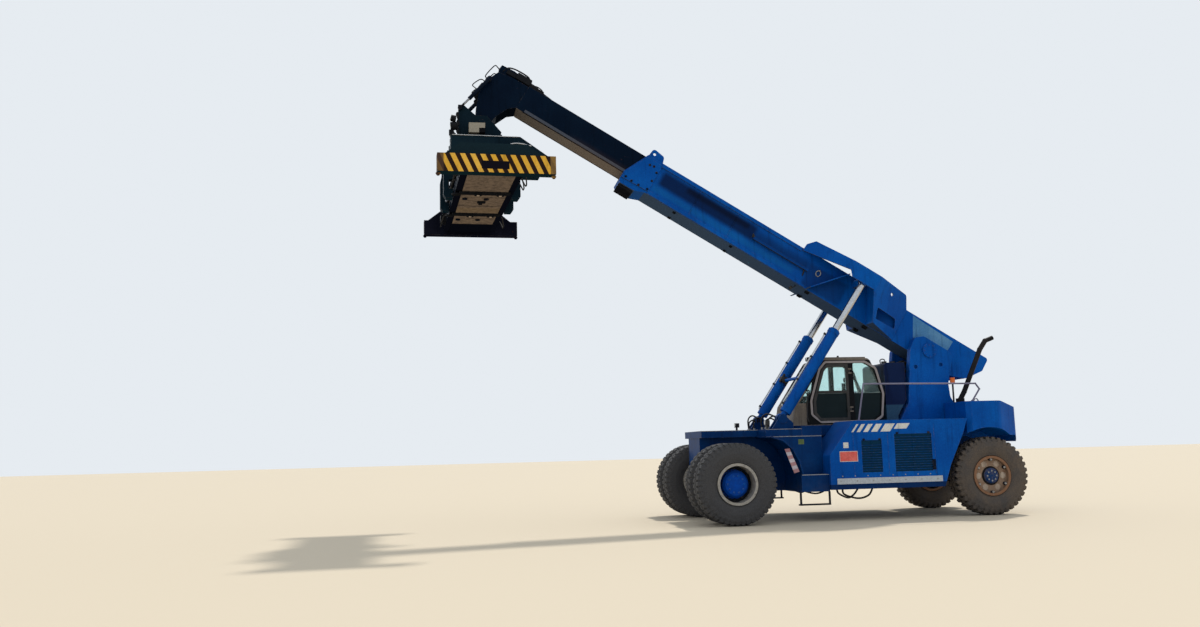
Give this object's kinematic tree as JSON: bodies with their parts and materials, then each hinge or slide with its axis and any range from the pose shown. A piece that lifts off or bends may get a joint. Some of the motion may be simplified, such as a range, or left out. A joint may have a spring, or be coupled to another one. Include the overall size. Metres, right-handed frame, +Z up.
{
  "type": "reach stacker",
  "caption": "Container handling machine with a lifting telescopic boom, a turning spreader with telescopic arms, a driver's cab, dual front wheels and steered rear wheels.",
  "frame": {"origin": "on the ground under the middle of the overall box", "axes": "+X forward, the way the boom reaches; +Y left; +Z up"},
  "size_m": [13.1959, 6.2662, 10.27],
  "materials": {
    "blue_paint": "faded blue machine paint with rust and dirt",
    "dark_paint": "dark blue-black paint, dusty",
    "head_paint": "dark teal-black paint, worn",
    "beam_paint": "yellow and black striped paint, chipped and rusty",
    "cab_paint": "pale beige paint",
    "grey_metal": "bare worn steel",
    "chrome_rod": "polished rod",
    "tyre_rubber": "dusty black tread rubber",
    "rim_blue": "blue hub with pale bare rim flanges",
    "rim_rust": "pale rusty rim",
    "glass_teal": "tinted glass",
    "black_plastic": "matt black trim",
    "lamp_mix": "lamp lenses and housings"
  },
  "bodies": {
    "chassis": {"chassis_frame": "dark_paint", "front_deck": "dark_paint", "cab_platform": "blue_paint", "front_axle": "dark_paint", "step_bodies": "blue_paint", "side_pod_left": "blue_paint", "side_pod_right": "blue_paint", "engine_block": "dark_paint", "tank_unit": "dark_paint", "boom_tower": "blue_paint", "counterweight": "blue_paint", "steer_axle": "dark_paint", "access_steps": "dark_paint", "handrails": "dark_paint", "exhaust_stack": "dark_paint", "lamps": "lamp_mix", "cab_shell": "cab_paint", "cab_glass": "glass_teal", "driver_seat": "black_plastic", "steering_console": "black_plastic"},
    "door": {"cab_door": "cab_paint", "door_glass": "glass_teal"},
    "front_wheels_left": {"front_tyres_left": "tyre_rubber", "front_rims_left": "rim_blue"},
    "front_wheels_right": {"front_tyres_right": "tyre_rubber", "front_rims_right": "rim_blue"},
    "knuckle_body_left": {"knuckle_left": "dark_paint"},
    "knuckle_body_right": {"knuckle_right": "dark_paint"},
    "rear_wheel_left": {"rear_tyre_left": "tyre_rubber", "rear_rim_left": "rim_rust"},
    "rear_wheel_right": {"rear_tyre_right": "tyre_rubber", "rear_rim_right": "rim_rust"},
    "boom": {"outer_boom": "blue_paint"},
    "boom_inner": {"inner_boom": "dark_paint", "boom_head": "dark_paint"},
    "cylinder_barrels": {"lift_barrels": "blue_paint"},
    "cylinder_rods": {"lift_rods": "chrome_rod"},
    "damper_barrel_pair": {"damper_barrels": "dark_paint"},
    "damper_rod_pair": {"damper_rods": "chrome_rod"},
    "yoke": {"head_yoke": "head_paint"},
    "turntable": {"turntable_frame": "head_paint"},
    "spreader": {"main_frame": "dark_paint"},
    "arm_left": {"arms_left": "dark_paint", "end_beam_left": "beam_paint"},
    "arm_right": {"arms_right": "dark_paint", "end_beam_right": "dark_paint"}
  },
  "joints": [
    {"name": "front_left_spin", "type": "hinge", "parent": "chassis", "child": "front_wheels_left", "pos_m": [0.175, 1.5, 0.838], "axis": [0, 1, 0], "continuous": true},
    {"name": "front_right_spin", "type": "hinge", "parent": "chassis", "child": "front_wheels_right", "pos_m": [0.175, -1.5, 0.838], "axis": [0, 1, 0], "continuous": true},
    {"name": "steer_left", "type": "hinge", "parent": "chassis", "child": "knuckle_body_left", "pos_m": [-5.615, 1.1, 0.838], "axis": [0, 0, 1], "range_deg": [-45, 45]},
    {"name": "steer_right", "type": "hinge", "parent": "chassis", "child": "knuckle_body_right", "pos_m": [-5.615, -1.1, 0.838], "axis": [0, 0, 1], "range_deg": [-45, 45]},
    {"name": "rear_left_spin", "type": "hinge", "parent": "knuckle_body_left", "child": "rear_wheel_left", "pos_m": [-5.615, 1.404, 0.838], "axis": [0, 1, 0], "continuous": true},
    {"name": "rear_right_spin", "type": "hinge", "parent": "knuckle_body_right", "child": "rear_wheel_right", "pos_m": [-5.615, -1.404, 0.838], "axis": [0, 1, 0], "continuous": true},
    {"name": "cab_door_hinge", "type": "hinge", "parent": "chassis", "child": "door", "pos_m": [-2.903, 0.646, 2.75], "axis": [0, 0, 1], "range_deg": [0, 95]},
    {"name": "boom_lift", "type": "hinge", "parent": "chassis", "child": "boom", "pos_m": [-4.885, 0, 3.66], "axis": [0, -1, 0], "range_deg": [-23, 29]},
    {"name": "lift_barrel_swing", "type": "hinge", "parent": "chassis", "child": "cylinder_barrels", "pos_m": [-1.215, 0, 2.17], "axis": [0, -1, 0], "range_deg": [-3, 4]},
    {"name": "lift_rod_slide", "type": "slide", "parent": "cylinder_barrels", "child": "cylinder_rods", "axis": [-0.5684, 0, 0.8227], "range_m": [-0.9, 1.1]},
    {"name": "boom_extend", "type": "slide", "parent": "boom", "child": "boom_inner", "axis": [-0.8572, 0, -0.515], "range_m": [-4, 2.4]},
    {"name": "head_swing", "type": "hinge", "parent": "boom_inner", "child": "yoke", "pos_m": [5.19, 0, 8.86], "axis": [0, 1, 0], "range_deg": [-23, 29]},
    {"name": "damper_swing", "type": "hinge", "parent": "boom_inner", "child": "damper_barrel_pair", "pos_m": [5.01, 0, 9.85], "axis": [0, 1, 0], "range_deg": [-4, 5]},
    {"name": "damper_slide", "type": "slide", "parent": "damper_barrel_pair", "child": "damper_rod_pair", "axis": [0.6912, 0, -0.7226], "range_m": [-0.23, 0.29]},
    {"name": "rotator", "type": "hinge", "parent": "yoke", "child": "turntable", "pos_m": [5.19, 0, 8.48], "axis": [0, 0, 1], "range_deg": [-95, 185]},
    {"name": "side_shift", "type": "slide", "parent": "turntable", "child": "spreader", "axis": [-0.0593, 0.9982, 0], "range_m": [-0.8, 0.8]},
    {"name": "telescope_left", "type": "slide", "parent": "spreader", "child": "arm_left", "axis": [-0.0593, 0.9982, 0], "range_m": [0, 3.1]},
    {"name": "telescope_right", "type": "slide", "parent": "spreader", "child": "arm_right", "axis": [0.0593, -0.9982, 0], "range_m": [0, 3.1]}
  ],
  "couplings": [
    {"joint": "steer_right", "follows": "steer_left", "ratio": 1},
    {"joint": "lift_barrel_swing", "follows": "boom_lift", "ratio": 0.1},
    {"joint": "lift_rod_slide", "follows": "boom_lift", "m_per_rad": 2.1085},
    {"joint": "damper_swing", "follows": "head_swing", "ratio": 0.125},
    {"joint": "damper_slide", "follows": "head_swing", "m_per_rad": 0.5357},
    {"joint": "telescope_right", "follows": "telescope_left", "ratio": 1}
  ]
}
